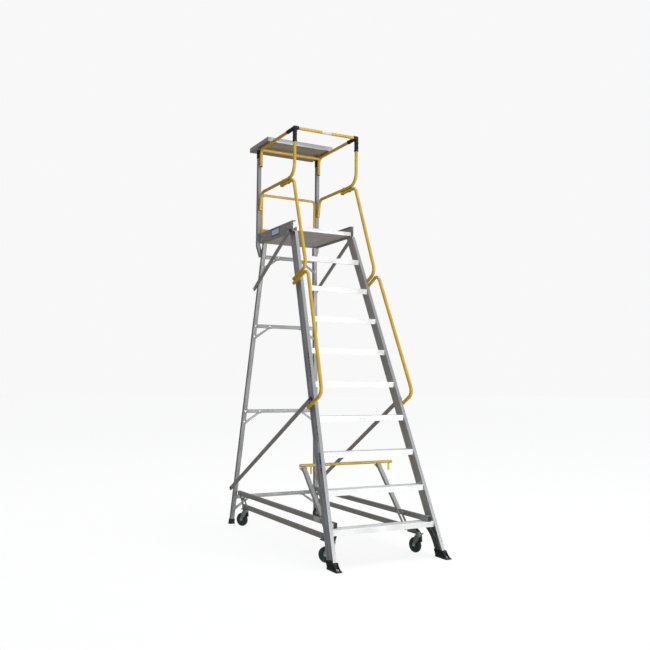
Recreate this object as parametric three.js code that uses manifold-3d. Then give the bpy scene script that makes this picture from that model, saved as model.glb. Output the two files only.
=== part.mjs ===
// A mobile ladder stand: nine treads and a guarded platform on a tapered aluminium frame,
// with a lever that lowers four castors through a pair of parallel linkages.
// Millimetres, +Z up, the climber faces +Y. The origin is on the floor at the middle of the base.

import * as THREE from "three";
import { mergeVertices } from "three/addons/utils/BufferGeometryUtils.js";
import Module from "manifold-3d";

const wasm = await Module();
wasm.setup();

// ---------- driving dimensions ----------

const GAP = 0.4; // clearance between touching pieces

// The front frame: the stiles lean back and towards each other as they rise.
const RISE = 280;
const TREADS = 9;
const STILE_LEAN = 0.417; // back, per unit of height
const STILE_TAPER = 0.0737; // inwards, per unit of height
const STILE_HALF_SPAN = 485; // inner face at floor level
const STILE_DEPTH = 105;
const STILE_FLANGE = 30;
const STILE_WALL = 5;
const TREAD_DEPTH = 100;
const TREAD_NOSE = 45;
const TREAD_LIP = 30;
const TREAD_SHEET = 4;

// The rear frame.
const LEG_Y = 2202; // centre line at floor level
const LEG_LEAN = -0.1072;
const LEG_TAPER = 0.0695;
const LEG_HALF_SPAN = 468;
const LEG_WIDTH = 40;
const LEG_DEPTH = 35;
const CROSSBAR_HEIGHTS = [2624, 1943, 1103, 261];
const CROSSBAR = { height: 35, depth: 25 };
const KNEE_REACH = 110;

// The platform.
const DECK_TOP = RISE * (TREADS + 1);
const DECK = { halfWidth: 281.5, front: 1175, back: 1975, thickness: 30 };
const SIDE_PLATE = { outer: 316, wall: 4, lip: 34, bottom: 2758, top: 2860, front: 1180, back: 1934 };
const POST = { x: 326, y: 1957, size: 36, top: 3702 };

// The guard rails.
const TUBE = 15; // outer radius of the round rails
const GUARD_X = 323;
const GUARD_FRONT = 1147;
const GUARD_BACK = 1915;
const TOP_RAIL_Z = 3703;
const LOOP_Z = 3260;
const MID_RAIL_Z = 3250;
const SOCKET = { radius: 20, reach: 150, stub: 34 };
const TRAY = { halfWidth: 355, front: 1682, back: 2136, bottom: 3719, height: 45, sheet: 4 };

// The castor base.
const RAIL_X = 409.5;
const RAIL = { width: 25, height: 42, wall: 3 };
const FIXED_RAIL = { z: 302, back: 2150, frontRight: 100, frontLeft: 175 };
const CASTOR_RAIL = { z: 188.6, front: 330, back: 2034 };
const LEVER_LEAN = THREE.MathUtils.degToRad(43); // back from vertical, at rest
const LEVER_PIVOT = { y: 465, z: FIXED_RAIL.z };
const REAR_PIVOT = { y: 2095, z: FIXED_RAIL.z };
const LINK_LENGTH = (FIXED_RAIL.z - CASTOR_RAIL.z) / Math.cos(LEVER_LEAN);
const STRAP = { thickness: 3, depth: 24, width: 36 }; // the folded channel of an arm or link
const ARM_REACH = 533;
const ARM_X = 368; // inboard of the rails, on bosses
const LEVER_BAR = { radius: 13, left: -395, right: 515, tabs: [-290, 485] };
const CASTOR = { wheel: 62.5, tyre: 28, trail: 40, stems: [250, 1978], clearance: 4 };
const CASTOR_HEAD_Z = 158.5;
const SWIVEL = { front_right: 12, front_left: 38, rear_right: 20, rear_left: 30 }; // degrees, at rest

// Everything is laid out with y = 0 at the foot of the stiles, then centred on its footprint.
const TOE_Y = -44;
const HEEL_Y = LEG_Y + 26;

// ---------- materials ----------

function material(color, roughness, metalness) {
  return new THREE.MeshStandardMaterial({ color, roughness, metalness });
}

const aluminium = material(0x9aa0a3, 0.42, 0.85);
const treadMetal = material(0xc9cdd0, 0.5, 0.7);
const yellow = material(0xe0ae1c, 0.35, 0.1);
const blackPlastic = material(0x16181a, 0.6, 0);
const rubber = material(0x1b1b1b, 0.85, 0);
const zinc = material(0x6f7f7a, 0.4, 0.8);

// ---------- shape helpers ----------

// A closed geometry as a manifold solid.
function solid(geometry) {
  const bare = geometry.clone();
  bare.deleteAttribute("normal");
  bare.deleteAttribute("uv");
  const merged = mergeVertices(bare, 1e-3);
  return new wasm.Manifold(
    new wasm.Mesh({
      numProp: 3,
      vertProperties: merged.attributes.position.array,
      triVerts: new Uint32Array(merged.index.array),
    }),
  );
}

function geometryOf(manifold) {
  const mesh = manifold.getMesh();
  const geometry = new THREE.BufferGeometry();
  geometry.setAttribute("position", new THREE.BufferAttribute(mesh.vertProperties, 3));
  geometry.setIndex(new THREE.BufferAttribute(mesh.triVerts, 1));
  return geometry;
}

// Several closed geometries welded into one.
function weld(...geometries) {
  return geometryOf(geometries.map(solid).reduce((all, next) => all.add(next)));
}

// A box from its lowest corner to its highest.
function block(low, high) {
  const size = high.map((value, axis) => value - low[axis]);
  const middle = high.map((value, axis) => (value + low[axis]) / 2);
  return new THREE.BoxGeometry(...size).translate(...middle);
}

function outline(points) {
  return new THREE.Shape(points.map(([x, y]) => new THREE.Vector2(x, y)));
}

function rectangle(width, height) {
  const [x, y] = [width / 2, height / 2];
  return outline([[-x, -y], [x, -y], [x, y], [-x, y]]);
}

// A rectangular tube's section.
function boxSection(width, height, wall) {
  const section = rectangle(width, height);
  section.holes.push(rectangle(width - 2 * wall, height - 2 * wall));
  return section;
}

// A round tube's section.
function ringSection(radius, wall) {
  const section = new THREE.Shape().absarc(0, 0, radius, 0, 2 * Math.PI);
  section.holes.push(new THREE.Path().absarc(0, 0, radius - wall, 0, 2 * Math.PI));
  return section;
}

function prism(section, length) {
  return new THREE.ExtrudeGeometry(section, { depth: length, bevelEnabled: false, curveSegments: 5 });
}

// A level section raised from z = low to z = high while it leans by (leanX, leanY) per unit of height.
function leaning(section, low, high, leanX, leanY) {
  const shear = new THREE.Matrix4().set(1, 0, leanX, 0, 0, 1, leanY, 0, 0, 0, 1, 0, 0, 0, 0, 1);
  return prism(section, high - low).translate(0, 0, low).applyMatrix4(shear);
}

// A section in (y, z) carried along X from x = low to x = high.
function alongX(section, low, high) {
  const turn = new THREE.Matrix4().set(0, 0, 1, low, 1, 0, 0, 0, 0, 1, 0, 0, 0, 0, 0, 1);
  return prism(section, high - low).applyMatrix4(turn);
}

// A section in (x, z) carried along Y from y = low to y = high.
function alongY(section, low, high) {
  return prism(section, high - low).rotateX(Math.PI / 2).translate(0, high, 0);
}

// A rectangular tube between two points, standing on edge in the plane that it spans with Z.
function bar(from, to, height, thickness) {
  const run = to.clone().sub(from);
  const length = run.length();
  const forward = run.normalize();
  const side = new THREE.Vector3(0, 0, 1).cross(forward).normalize();
  const up = new THREE.Vector3().crossVectors(forward, side);
  const place = new THREE.Matrix4().makeBasis(side, up, forward).setPosition(from);
  return prism(boxSection(thickness, height, 2), length).applyMatrix4(place);
}

// A path of straight runs joined by round bends. Each corner is [x, y, z, bend radius].
class BentPath extends THREE.Curve {
  constructor(corners, stepsPerBend = 4) {
    super();
    const at = corners.map(([x, y, z]) => new THREE.Vector3(x, y, z));
    this.points = [at[0]];
    for (let i = 1; i < at.length - 1; i++) {
      const toPrevious = at[i - 1].clone().sub(at[i]).normalize();
      const toNext = at[i + 1].clone().sub(at[i]).normalize();
      const turn = Math.PI - toPrevious.angleTo(toNext);
      const radius = corners[i][3];
      const start = at[i].clone().addScaledVector(toPrevious, radius * Math.tan(turn / 2));
      const inwards = toPrevious.clone().add(toNext).normalize();
      const centre = at[i].clone().addScaledVector(inwards, radius / Math.cos(turn / 2));
      const axis = new THREE.Vector3().crossVectors(toNext, toPrevious).normalize();
      for (let step = 0; step <= stepsPerBend; step++) {
        const spoke = start.clone().sub(centre).applyAxisAngle(axis, (turn * step) / stepsPerBend);
        this.points.push(centre.clone().add(spoke));
      }
    }
    this.points.push(at[at.length - 1]);
  }

  get steps() {
    return this.points.length - 1;
  }

  getPointAt(u) {
    const place = u * this.steps;
    const index = Math.min(Math.floor(place), this.steps - 1);
    return this.points[index].clone().lerp(this.points[index + 1], place - index);
  }

  getTangentAt(u) {
    const index = Math.round(u * this.steps);
    const before = this.points[Math.max(index - 1, 0)];
    const here = this.points[index];
    const after = this.points[Math.min(index + 1, this.steps)];
    const into = here.clone().sub(before).normalize();
    const outOf = after.clone().sub(here).normalize();
    return into.add(outOf).normalize();
  }
}

// A section carried along a bent path.
function bent(section, corners) {
  const extrudePath = new BentPath(corners);
  return new THREE.ExtrudeGeometry(section, { steps: extrudePath.steps, extrudePath, curveSegments: 5 });
}

const railSection = () => ringSection(TUBE, 2.5);

// A cylinder between two points.
function rod(from, to, radius, sides = 14) {
  const [a, b] = [new THREE.Vector3(...from), new THREE.Vector3(...to)];
  const run = b.clone().sub(a);
  const turn = new THREE.Quaternion().setFromUnitVectors(new THREE.Vector3(0, 1, 0), run.clone().normalize());
  const middle = a.add(b).multiplyScalar(0.5);
  return new THREE.CylinderGeometry(radius, radius, run.length(), sides)
    .applyQuaternion(turn)
    .translate(...middle);
}

// ---------- the assembly ----------

const stand = new THREE.Group();
stand.position.y = -(TOE_Y + HEEL_Y) / 2;

function add(name, geometry, finish) {
  const mesh = new THREE.Mesh(geometry, finish);
  mesh.name = name;
  stand.add(mesh);
  return mesh;
}

// The geometry is the right-hand (+X) piece. The left-hand piece is its mirror image.
function addPair(name, geometry, finish) {
  add(`${name}_right`, geometry, finish);
  add(`${name}_left`, geometry, finish).scale.x = -1;
}

const stileInner = (z) => STILE_HALF_SPAN - STILE_TAPER * z;
const stileOuter = (z) => stileInner(z) + STILE_FLANGE;
const stileFront = (z) => STILE_LEAN * z;
const legX = (z) => LEG_HALF_SPAN - LEG_TAPER * z;
const legY = (z) => LEG_Y + LEG_LEAN * z;
const legInner = (z) => legX(z) - LEG_WIDTH / 2;
const legOuter = (z) => legX(z) + LEG_WIDTH / 2;

// ---------- front frame ----------

const FRONT_FOOT_TOP = 60;
const FOOT_WIDTH = 52;

function frontStile() {
  const [x, w, f, d] = [STILE_HALF_SPAN, STILE_WALL, STILE_FLANGE, STILE_DEPTH];
  const channel = outline([
    [x, 0], [x + f, 0], [x + f, w], [x + w, w], [x + w, d - w], [x + f, d - w], [x + f, d], [x, d],
  ]);
  return leaning(channel, FRONT_FOOT_TOP + GAP, SIDE_PLATE.bottom - GAP, -STILE_TAPER, STILE_LEAN);
}

function frontFoot() {
  const side = outline([
    [TOE_Y, 0], [108, 0], [112, 8], [134, FRONT_FOOT_TOP], [16, FRONT_FOOT_TOP], [-6, 26], [TOE_Y, 10],
  ]);
  const middle = STILE_HALF_SPAN + STILE_FLANGE / 2 - 4.5;
  return alongX(side, middle - FOOT_WIDTH / 2, middle + FOOT_WIDTH / 2);
}

// An upturned channel: the walking surface with a deep nose and a shallower rear lip.
function tread(z) {
  const [y, t] = [stileFront(z), TREAD_SHEET];
  const back = y + TREAD_DEPTH;
  const section = outline([
    [y, z], [y, z - TREAD_NOSE], [y + t, z - TREAD_NOSE], [y + t, z - t],
    [back - t, z - t], [back - t, z - TREAD_LIP], [back, z - TREAD_LIP], [back, z],
  ]);
  const half = stileInner(z) - GAP;
  return alongX(section, -half, half);
}

// A curved plate from the underside of the lowest tread down the inner face of the stile, leaning with it.
function footKnee(side) {
  const [top, bottom, thickness, depth] = [RISE - 3, 66, 5, 72];
  const outerX = (z) => stileInner(z) - GAP;
  const reach = 72;
  const curve = (shift) =>
    [0, 0.25, 0.5, 0.75, 1].map((t) => {
      const z = bottom + (top - bottom) * t;
      return [outerX(z) - shift - reach * t ** 3, z];
    });
  const strip = outline([...curve(0), ...curve(thickness).reverse()]);
  const y = stileFront(RISE) + 24;
  const k = STILE_LEAN;
  const lean = new THREE.Matrix4().set(1, 0, 0, 0, 0, 1, k, -k * RISE, 0, 0, 1, 0, 0, 0, 0, 1);
  const knee = alongY(strip, y, y + depth).applyMatrix4(lean);
  return side > 0 ? knee : mirrored(knee);
}

// A closed geometry's mirror image in the plane x = 0.
function mirrored(geometry) {
  return geometryOf(solid(geometry).mirror([1, 0, 0]));
}

addPair("front_stile", frontStile(), aluminium);
addPair("front_foot", frontFoot(), rubber);
for (let step = 1; step <= TREADS; step++) {
  const plain = tread(step * RISE);
  add(`tread_${step}`, step === 1 ? weld(plain, footKnee(1), footKnee(-1)) : plain, treadMetal);
}

// ---------- rear frame ----------

const REAR_FOOT_TOP = 46;

function rearLeg() {
  const section = boxSection(LEG_WIDTH, LEG_DEPTH, 2.5);
  return leaning(section, REAR_FOOT_TOP + GAP, SIDE_PLATE.bottom - GAP, -LEG_TAPER, LEG_LEAN)
    .translate(LEG_HALF_SPAN, LEG_Y, 0);
}

function rearFoot() {
  const [x, y] = [legX(REAR_FOOT_TOP / 2), legY(REAR_FOOT_TOP / 2)];
  const sole = block([x - 28, y - 28, 0], [x + 28, HEEL_Y, 12]);
  const cup = block([x - 24, y - 22, 10], [x + 24, y + 22, REAR_FOOT_TOP]);
  return weld(sole, cup);
}

// A level bar between the rear legs with a short knee under each end.
function crossbar(z) {
  const [half, top] = [legInner(z + CROSSBAR.height / 2) - GAP, z + CROSSBAR.height / 2];
  const bottom = z - CROSSBAR.height / 2;
  const y = legY(z);
  const [front, back] = [y - CROSSBAR.depth / 2, y + CROSSBAR.depth / 2];
  const low = bottom - KNEE_REACH;
  const width = 32;
  const knee = alongY(
    outline([
      [half - KNEE_REACH - width, bottom + 3],
      [legInner(low) - GAP, low],
      [legInner(low + width) - GAP, low + width],
      [half - KNEE_REACH, bottom + 3],
    ]),
    y - 5,
    y + 5,
  );
  return weld(block([-half, front, bottom], [half, back, top]), knee, mirrored(knee));
}

// A diagonal from the outside of the stile or side plate to the outside of the rear leg.
function sideBrace(front, back) {
  const [height, thickness] = [34, 18];
  const offset = thickness / 2 + 3;
  return bar(
    new THREE.Vector3(front.face + offset, front.y, front.z),
    new THREE.Vector3(legOuter(back.z) + offset, back.y, back.z),
    height,
    thickness,
  );
}

addPair("rear_leg", rearLeg(), aluminium);
addPair("rear_foot", rearFoot(), rubber);
CROSSBAR_HEIGHTS.forEach((z, index) => add(`rear_crossbar_${index + 1}`, crossbar(z), aluminium));
const LOWER_BRACE_FRONT = { y: 556, z: 1262, face: stileOuter(1262) };
addPair("lower_side_brace", sideBrace(LOWER_BRACE_FRONT, { y: 2214, z: 340 }), aluminium);
const UPPER_BRACE_FRONT = { y: 1225, z: 2768, face: SIDE_PLATE.outer };
addPair("upper_side_brace", sideBrace(UPPER_BRACE_FRONT, { y: 2010, z: 2308 }), aluminium);

// ---------- platform ----------

// Hollow planks side by side: two sheets joined by upright walls, open at the front and back.
function platformDeck() {
  const { halfWidth, front, back, thickness } = DECK;
  const [planks, wall] = [8, 4];
  const bottom = DECK_TOP - thickness;
  const sheet = (low) => block([-halfWidth, front, low], [halfWidth, back, low + wall]);
  const pitch = (2 * halfWidth - wall) / planks;
  const walls = Array.from({ length: planks + 1 }, (_, i) => {
    const left = -halfWidth + pitch * i;
    return block([left, front, bottom], [left + wall, back, DECK_TOP]);
  });
  return weld(sheet(bottom), sheet(DECK_TOP - wall), ...walls);
}

// A channel that opens towards the deck.
function sidePlate() {
  const { outer, wall, lip, bottom, top, front, back } = SIDE_PLATE;
  const inner = outer - lip;
  const channel = outline([
    [inner, bottom], [outer, bottom], [outer, top], [inner, top],
    [inner, top - wall], [outer - wall, top - wall], [outer - wall, bottom + wall], [inner, bottom + wall],
  ]);
  return alongY(channel, front, back);
}

// A square post that stands outside the side plate, joggled inwards at its foot to the rear leg.
function guardPost() {
  const { x, y, size, top } = POST;
  return bent(boxSection(size, size, 2.5), [
    [x, y, top, 0],
    [x, y, 2735, 70],
    [x - 32.5, y, 2628, 0],
  ]);
}

// The upright board against the edge of the deck's top sheet, clear of its hollow cores.
function toeBoard() {
  const front = DECK.back + GAP;
  return block([-276, front, DECK_TOP - 3], [276, front + 6, DECK_TOP + 114]);
}

add("platform_deck", platformDeck(), treadMetal);
addPair("platform_side_plate", sidePlate(), aluminium);
addPair("guard_post", guardPost(), aluminium);
add("toe_board", toeBoard(), yellow);

// ---------- guard rails ----------

// An upturned U between the posts, its legs down past the deck's edges.
function midRail() {
  const [x, y, foot] = [294.5, 1950, DECK_TOP - DECK.thickness];
  return bent(ringSection(12.5, 2), [
    [-x, y, foot, 0],
    [-x, y, MID_RAIL_Z, 35],
    [x, y, MID_RAIL_Z, 35],
    [x, y, foot, 0],
  ]);
}

// Both side rails of the guard's top, bent down to the posts, with the rail across that carries the tray.
function topRailFrame() {
  const side = bent(railSection(), [
    [GUARD_X, GUARD_FRONT + SOCKET.reach + GAP, TOP_RAIL_Z, 0],
    [GUARD_X, GUARD_BACK, TOP_RAIL_Z, 62],
    [GUARD_X, GUARD_BACK, TOP_RAIL_Z - 177, 0],
  ]);
  const [y, z] = [GUARD_BACK - 22, TOP_RAIL_Z - 14.6];
  const end = GUARD_X - TUBE + 1.3;
  return weld(side, mirrored(side), rod([-end, y, z], [end, y, z], TUBE));
}

// A three-way corner that the rails plug into.
function cornerConnector() {
  const corner = [GUARD_X, GUARD_FRONT, TOP_RAIL_Z];
  const down = rod(corner, [GUARD_X, GUARD_FRONT, TOP_RAIL_Z - SOCKET.reach + 20], SOCKET.radius);
  const back = rod(corner, [GUARD_X, GUARD_FRONT + SOCKET.reach, TOP_RAIL_Z], SOCKET.radius - 1);
  const inwards = rod(corner, [GUARD_X - SOCKET.stub, GUARD_FRONT, TOP_RAIL_Z], SOCKET.radius - 1);
  const ball = new THREE.SphereGeometry(SOCKET.radius, 12, 8).translate(...corner);
  return weld(ball, down, back, inwards);
}

// The guard at the platform's side: up the post, forward, and up to the corner.
function guardLoop() {
  return bent(railSection(), [
    [GUARD_X, GUARD_BACK + 5, LOOP_Z - 172, 0],
    [GUARD_X, GUARD_BACK - 28, LOOP_Z, 62],
    [GUARD_X, GUARD_FRONT, LOOP_Z, 115],
    [GUARD_X, GUARD_FRONT, TOP_RAIL_Z - SOCKET.reach + 20 - GAP, 0],
  ]);
}

// From under the guard loop down in front of the stile and back to it.
function upperHandrail() {
  const z = LOOP_Z - 2 * TUBE - 2;
  return bent(railSection(), [
    [GUARD_X, 1425, z, 0],
    [GUARD_X, 1162, z, 52],
    [347, 843, 2390, 72],
    [367, 1050, 2302, 0],
  ]);
}

function lowerHandrail() {
  return bent(railSection(), [
    [372, 1035, 2262, 0],
    [353, 802, 2363, 62],
    [433, 370, 1304, 72],
    [443.5, 590, 1186, 0],
  ]);
}

// A shallow tray that lies across the top rails: a channel with a wall at each end.
function workTray() {
  const { front, back, bottom, height, sheet, halfWidth } = TRAY;
  const [top, returnLip] = [bottom + height, 12];
  const section = outline([
    [front, bottom], [back, bottom], [back, top], [back - returnLip, top],
    [back - returnLip, top - sheet], [back - sheet, top - sheet], [back - sheet, bottom + sheet],
    [front + sheet, bottom + sheet], [front + sheet, top - sheet], [front + returnLip, top - sheet],
    [front + returnLip, top], [front, top],
  ]);
  const endWall = block([halfWidth - sheet, front, bottom], [halfWidth, back, top]);
  return weld(alongX(section, -halfWidth, halfWidth), endWall, mirrored(endWall));
}

add("mid_rail", midRail(), yellow);
add("top_rail_frame", topRailFrame(), yellow);
const frontRailEnd = GUARD_X - SOCKET.stub - GAP;
const frontRail = bent(railSection(), [
  [-frontRailEnd, GUARD_FRONT, TOP_RAIL_Z, 0],
  [frontRailEnd, GUARD_FRONT, TOP_RAIL_Z, 0],
]);
add("front_top_rail", frontRail, yellow);
addPair("corner_connector", cornerConnector(), blackPlastic);
addPair("guard_loop", guardLoop(), yellow);
addPair("upper_handrail", upperHandrail(), yellow);
addPair("lower_handrail", lowerHandrail(), yellow);
add("work_tray", workTray(), aluminium);

// ---------- castor base ----------

const railInner = RAIL_X - RAIL.width / 2;
const railOuter = RAIL_X + RAIL.width / 2;
const bossEnd = ARM_X + STRAP.width / 2 + GAP;

// The boss that a rail holds inwards to the arm's pivot.
function boss(y, z) {
  return rod([bossEnd, y, z], [railInner + 1, y, z], 11);
}

function railTube(front, { back, z }) {
  return alongY(boxSection(RAIL.width, RAIL.height, RAIL.wall), front, back).translate(RAIL_X, 0, z);
}

// The rail that ties the stile to the rear leg, with a spacer out to the stile and the arm's pivot boss.
function baseRail(front) {
  const [low, high] = [FIXED_RAIL.z - 16, FIXED_RAIL.z + 16];
  const spacer = block([railOuter - 1, Math.max(front + 5, 160), low], [stileInner(high) - GAP, 205, high]);
  return weld(railTube(front, FIXED_RAIL), spacer, boss(LEVER_PIVOT.y, LEVER_PIVOT.z));
}

// The rail that carries two castors, with a plate under each end and a boss for the arm's lower pin.
function castorRail() {
  const [top, bottom] = [CASTOR_RAIL.z - RAIL.height / 2 + 1, CASTOR_HEAD_Z + 1.5];
  const [frontStem, rearStem] = CASTOR.stems;
  const [left, right] = [RAIL_X - 27, RAIL_X + 27];
  const frontPlate = block([left, frontStem - 38, bottom], [right, CASTOR_RAIL.front + 60, top]);
  const rearPlate = block([left, rearStem - 70, bottom], [right, CASTOR_RAIL.back + 8, top]);
  const pin = alongLever(LEVER_PIVOT, -LINK_LENGTH);
  return weld(railTube(CASTOR_RAIL.front, CASTOR_RAIL), frontPlate, rearPlate, boss(pin.y, pin.z));
}

// A point at a distance up the line of the lever from a pivot.
function alongLever(pivot, distance) {
  return {
    y: pivot.y + distance * Math.sin(LEVER_LEAN),
    z: pivot.z + distance * Math.cos(LEVER_LEAN),
  };
}

// Two side straps joined by a web on their front edge. The straps run from below the pivot to above it,
// and the web covers only its own stretch, so the straps can straddle the rails.
function channelArm(x, pivot, below, above, web) {
  const r = STRAP.depth / 2;
  const strap = new THREE.Shape();
  strap.absarc(0, -below, r, Math.PI, 2 * Math.PI);
  strap.absarc(0, above - r, r, 0, Math.PI);
  const half = STRAP.width / 2;
  const t = STRAP.thickness;
  return weld(
    alongX(strap, x - half, x - half + t),
    alongX(strap, x + half - t, x + half),
    block([x - half, -r, web.from], [x + half, -r + t, web.to]),
  )
    .rotateX(-LEVER_LEAN)
    .translate(0, pivot.y, pivot.z);
}

function leverArm() {
  const top = ARM_REACH - LEVER_BAR.radius - 1;
  return channelArm(ARM_X, LEVER_PIVOT, LINK_LENGTH, top, { from: 30, to: top - 8 });
}

function rearLink() {
  const middle = -LINK_LENGTH / 2;
  return channelArm(RAIL_X, REAR_PIVOT, LINK_LENGTH, STRAP.depth / 2, { from: middle - 13, to: middle + 13 });
}

// The foot bar across both arms, with two hanging tabs.
function leverBar() {
  const { y, z } = alongLever(LEVER_PIVOT, ARM_REACH);
  const { left, right, radius, tabs } = LEVER_BAR;
  const tube = rod([left, y, z], [right, y, z], radius);
  const hanging = tabs.map((x) => block([x - 8.5, y - 3, z - 76], [x + 8.5, y + 3, z]));
  return weld(tube, ...hanging);
}

const AXLE_Z = CASTOR.wheel + CASTOR.clearance;

// A pressed fork under a swivel head, trailing towards +Y, with the wheel's axle through its cheeks.
function castorFork() {
  const top = CASTOR_HEAD_Z;
  const head = rod([0, 0, top - 16], [0, 0, top], 26, 20);
  const y = CASTOR.trail;
  const cheek = outline([
    [-20, top - 14], [30, top - 14], [y + 14, AXLE_Z],
    [y + 7, AXLE_Z - 12], [y - 7, AXLE_Z - 12], [y - 14, AXLE_Z],
  ]);
  const [inner, outer] = [CASTOR.tyre / 2 + 3, CASTOR.tyre / 2 + 6.5];
  const bridge = block([-outer, -20, top - 18], [outer, 30, top - 13]);
  const axle = rod([-outer - 4, y, AXLE_Z], [outer + 4, y, AXLE_Z], 6, 10);
  return weld(head, bridge, alongX(cheek, inner, outer), alongX(cheek, -outer, -inner), axle);
}

// A wheel with a crowned tyre, a recessed disc and a raised hub round its bore.
function castorWheel() {
  const half = CASTOR.tyre / 2;
  const profile = [
    [8, -half], [17, -half], [19, -6], [46, -6], [49, -half + 1], [58, -half + 1], [CASTOR.wheel, -5],
    [CASTOR.wheel, 5], [58, half - 1], [49, half - 1], [46, 6], [19, 6], [17, half], [8, half], [8, -half],
  ].map(([r, h]) => new THREE.Vector2(r, h));
  return new THREE.LatheGeometry(profile, 28).rotateZ(Math.PI / 2).translate(0, CASTOR.trail, AXLE_Z);
}

// Both pieces of a castor, turned about its stem.
function addCastor(end, side) {
  const name = `${end}_${side}`;
  const place = [side === "right" ? RAIL_X : -RAIL_X, CASTOR.stems[end === "front" ? 0 : 1], 0];
  for (const piece of [
    add(`castor_fork_${name}`, castorFork(), zinc),
    add(`castor_wheel_${name}`, castorWheel(), rubber),
  ]) {
    piece.position.set(...place);
    piece.rotation.z = THREE.MathUtils.degToRad(SWIVEL[name]);
  }
}

add("base_rail_right", baseRail(FIXED_RAIL.frontRight), aluminium);
add("base_rail_left", baseRail(FIXED_RAIL.frontLeft), aluminium).scale.x = -1;
addPair("castor_rail", castorRail(), aluminium);
addPair("lever_arm", leverArm(), aluminium);
add("lever_bar", leverBar(), yellow);
addPair("rear_link", rearLink(), zinc);
for (const end of ["front", "rear"]) {
  for (const side of ["right", "left"]) addCastor(end, side);
}

export default stand;
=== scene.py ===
# A mobile ladder stand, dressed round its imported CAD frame.
# Sizes are millimetres, with y = 0 at the foot of the stiles. piece() turns them into the part's frame.

import math

import bmesh
import bpy
from mathutils import Matrix, Vector


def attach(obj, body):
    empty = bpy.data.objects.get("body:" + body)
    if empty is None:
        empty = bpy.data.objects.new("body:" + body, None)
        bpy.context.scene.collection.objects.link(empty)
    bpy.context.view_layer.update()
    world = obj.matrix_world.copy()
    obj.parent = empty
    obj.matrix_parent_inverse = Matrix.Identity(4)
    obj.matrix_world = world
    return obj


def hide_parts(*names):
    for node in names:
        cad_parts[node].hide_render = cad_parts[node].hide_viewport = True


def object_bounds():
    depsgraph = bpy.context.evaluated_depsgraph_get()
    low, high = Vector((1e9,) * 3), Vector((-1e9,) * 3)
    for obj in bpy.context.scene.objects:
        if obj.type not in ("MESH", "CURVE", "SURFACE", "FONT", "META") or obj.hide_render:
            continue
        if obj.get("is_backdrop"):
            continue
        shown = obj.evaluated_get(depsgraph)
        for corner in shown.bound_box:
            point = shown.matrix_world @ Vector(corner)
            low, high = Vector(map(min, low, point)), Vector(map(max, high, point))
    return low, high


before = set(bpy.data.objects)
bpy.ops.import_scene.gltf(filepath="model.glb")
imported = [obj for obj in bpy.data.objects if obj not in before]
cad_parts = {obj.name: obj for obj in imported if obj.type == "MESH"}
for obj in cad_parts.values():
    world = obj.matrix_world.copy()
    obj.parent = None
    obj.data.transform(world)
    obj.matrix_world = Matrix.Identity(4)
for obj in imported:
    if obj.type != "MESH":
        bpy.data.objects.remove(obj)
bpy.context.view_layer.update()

OFFSET_Y = -1092
TO_PART = Matrix.Translation((0, OFFSET_Y / 1000, 0)) @ Matrix.Scale(0.001, 4)

# ---------- sizes that follow the CAD ----------

RISE, TREADS = 280, 9
STILE_LEAN, STILE_TAPER = 0.417, 0.0737
STILE_FLANGE, STILE_DEPTH = 30, 105
LEG_WIDTH, LEG_DEPTH, LEG_LEAN, LEG_TAPER = 40, 35, -0.1072, 0.0695
DECK_TOP = 2800
GUARD_X, GUARD_FRONT, GUARD_BACK = 323, 1147, 1915
TOP_RAIL_Z, LOOP_Z = 3703, 3260
RAIL_X, RAIL_Z, SWING_Z = 409.5, 302, 188.6
LEAN = math.radians(43)
PIVOT = Vector((0, 465, RAIL_Z))
REAR_PIVOT = Vector((0, 2095, RAIL_Z))
LINK = (RAIL_Z - SWING_Z) / math.cos(LEAN)
ARM_X, ARM_REACH = 368, 533
BAR_LEFT, BAR_RIGHT, BAR_TABS = -395, 515, (-290, 485)
STEMS = {"front": 250, "rear": 1978}
AXLE_Z, TRAIL = 66.5, 40
FRAME_TOP = 2757.6  # upper ends of the stiles and rear legs
LEAN_TURN = Matrix.Rotation(-LEAN, 3, "X")
SIDES = (("right", 1), ("left", -1))


def stile_inner(z):
    return 485 - STILE_TAPER * z


def leg_x(z):
    return 468 - LEG_TAPER * z


def leg_y(z):
    return 2202 + LEG_LEAN * z


# ---------- materials ----------


def node(tree, kind, **inputs):
    made = tree.nodes.new(kind)
    for key, value in inputs.items():
        made.inputs[key].default_value = value
    return made


def surface(name, rough, metallic=0.0, coat=0.0, specular=0.5):
    """A material whose principled shader has its plain values set directly on its sockets."""
    material = bpy.data.materials.new(name)
    material.use_nodes = True
    tree = material.node_tree
    shader = tree.nodes["Principled BSDF"]
    shader.inputs["Roughness"].default_value = rough
    shader.inputs["Metallic"].default_value = metallic
    shader.inputs["Coat Weight"].default_value = coat
    shader.inputs["Specular IOR Level"].default_value = specular
    return material, tree, shader


def noise(tree, scale, detail=4.0, stretch=(1, 1, 1), roughness=0.5):
    coordinates = tree.nodes.new("ShaderNodeTexCoord")
    mapping = tree.nodes.new("ShaderNodeMapping")
    mapping.inputs["Scale"].default_value = stretch
    tree.links.new(coordinates.outputs["Object"], mapping.inputs["Vector"])
    texture = node(tree, "ShaderNodeTexNoise", Scale=scale, Detail=detail, Roughness=roughness)
    tree.links.new(mapping.outputs["Vector"], texture.inputs["Vector"])
    return texture.outputs["Fac"]


def ramp(tree, factor, stops):
    made = tree.nodes.new("ShaderNodeValToRGB")
    elements = made.color_ramp.elements
    while len(elements) < len(stops):
        elements.new(0.5)
    for element, (position, color) in zip(elements, stops):
        element.position = position
        element.color = (*color, 1)
    tree.links.new(factor, made.inputs["Fac"])
    return made.outputs["Color"]


def grey(value):
    return (value, value, value)


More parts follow.
